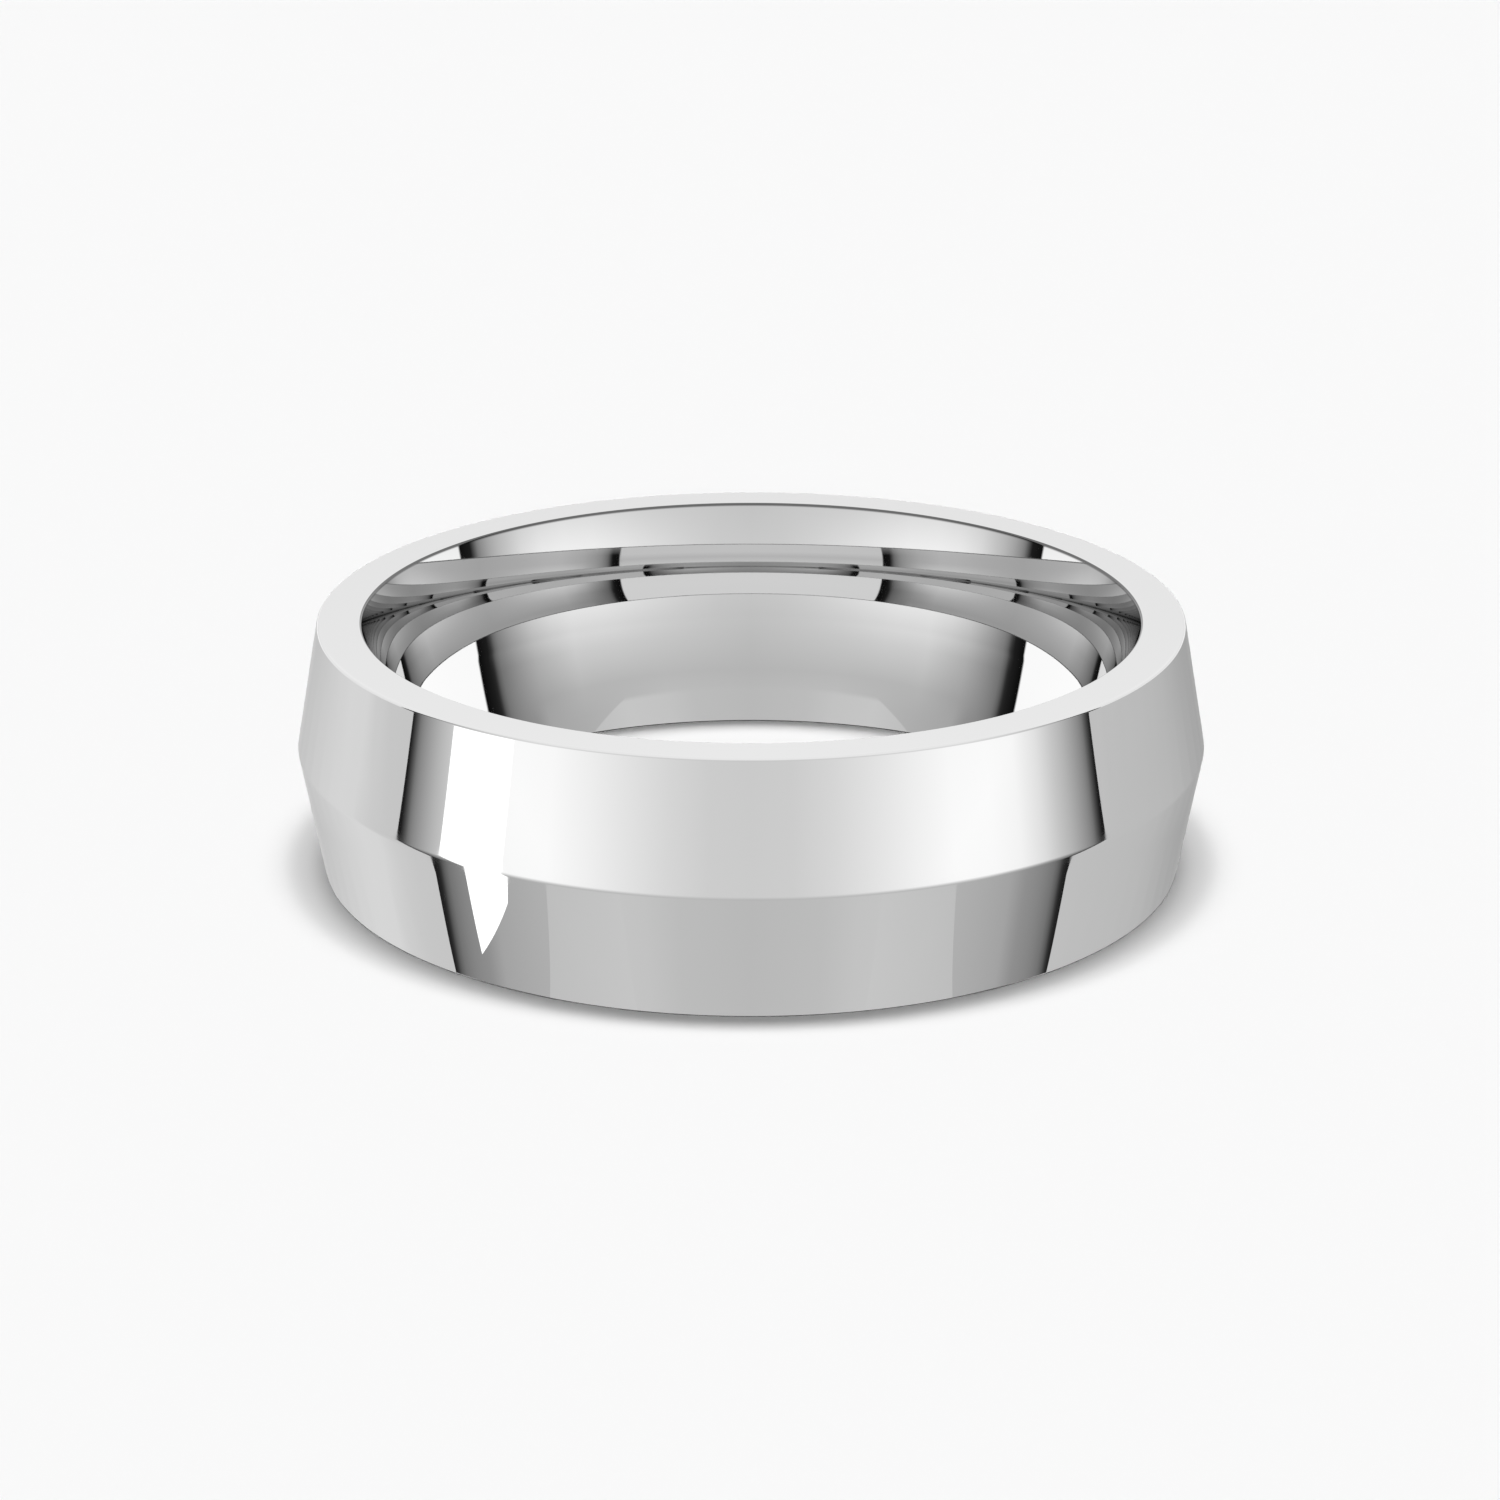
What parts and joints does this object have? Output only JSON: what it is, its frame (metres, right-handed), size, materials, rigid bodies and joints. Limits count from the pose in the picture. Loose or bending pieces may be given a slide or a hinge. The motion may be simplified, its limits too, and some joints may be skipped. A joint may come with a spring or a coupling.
{
  "type": "wedding band",
  "caption": "Plain polished wedding band with an outer ridge between flat bevels, flat edge faces and a comfort-fit inside.",
  "frame": {"origin": "centre of the finger hole, at the middle of the band's width", "axes": "+Z along the finger hole, which points up when the band lies on an edge face; +X and +Y across the hole"},
  "size_m": [0.0216, 0.0216, 0.006],
  "materials": {
    "polished_metal": "mirror polished"
  },
  "bodies": {
    "root": {"band": "polished_metal"}
  },
  "joints": []
}
